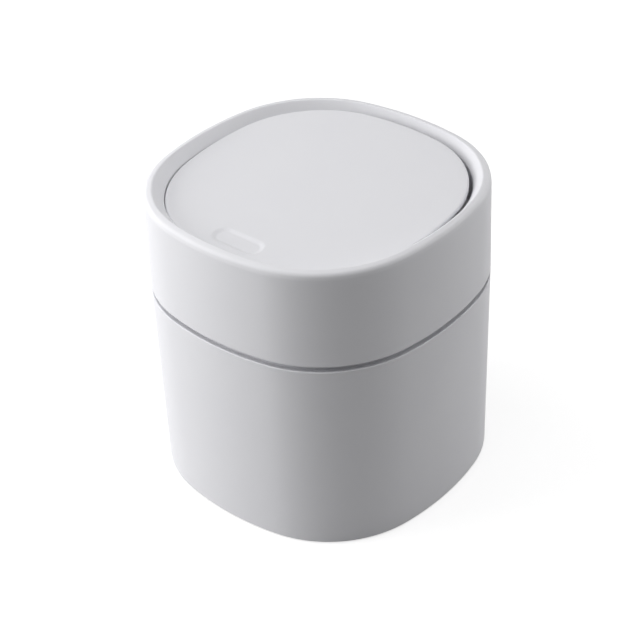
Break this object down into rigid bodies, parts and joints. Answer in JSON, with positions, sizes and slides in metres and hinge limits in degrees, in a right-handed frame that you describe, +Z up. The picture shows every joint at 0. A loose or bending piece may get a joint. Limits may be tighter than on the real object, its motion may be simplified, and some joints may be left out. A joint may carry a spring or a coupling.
{
  "type": "push top countertop bin",
  "caption": "Small countertop bin: bow-sided square bucket and a lift-off cover, with a recessed lid that pops up when its front edge is pressed.",
  "frame": {"origin": "middle of the base, on the surface that the feet stand on", "axes": "+Z up, -Y towards the lid's press mark (front), +Y towards the lid's hinge (rear), +X to the right seen from the front"},
  "size_m": [0.15, 0.15, 0.1524],
  "materials": {
    "shell": "fine moulded matte",
    "inner_shell": "moulded matte",
    "latch_plastic": "moulded acetal, satin",
    "foot_rubber": "matte",
    "pin_steel": "drawn wire, plain",
    "screw_steel": "zinc plated",
    "magnet_nickel": "nickel plated"
  },
  "bodies": {
    "bucket": {"bucket": "shell", "foot_front_left": "foot_rubber", "foot_front_right": "foot_rubber", "foot_rear_left": "foot_rubber", "foot_rear_right": "foot_rubber"},
    "cover": {"collar": "shell", "seat_ring": "inner_shell", "ring_screws": "screw_steel", "hinge_pin_left": "pin_steel", "hinge_pin_right": "pin_steel", "hinge_spring_left": "pin_steel", "hinge_spring_right": "pin_steel", "latch_housing": "latch_plastic", "latch_screws": "screw_steel", "latch_spring": "pin_steel", "lid_buffer_left": "foot_rubber", "lid_buffer_right": "foot_rubber"},
    "catch": {"latch_plunger": "latch_plastic", "catch_magnet": "magnet_nickel"},
    "lid": {"lid_panel": "shell", "lid_pan": "inner_shell", "striker_plate": "screw_steel", "striker_screws": "screw_steel"}
  },
  "joints": [
    {"name": "cover_lift", "type": "slide", "parent": "bucket", "child": "cover", "axis": [0, 0, 1], "range_m": [0, 0.035]},
    {"name": "latch_press", "type": "hinge", "parent": "cover", "child": "catch", "pos_m": [0, 0.04612, 0.14511], "axis": [-1, 0, 0], "range_deg": [-1.3, 1.5], "stiffness_Nm_per_rad": 2.5, "springref_deg": 0.6, "deforming": ["latch_spring"]},
    {"name": "lid_open", "type": "hinge", "parent": "catch", "child": "lid", "pos_m": [0, 0.04612, 0.14511], "axis": [-1, 0, 0], "range_deg": [0, 52]}
  ]
}
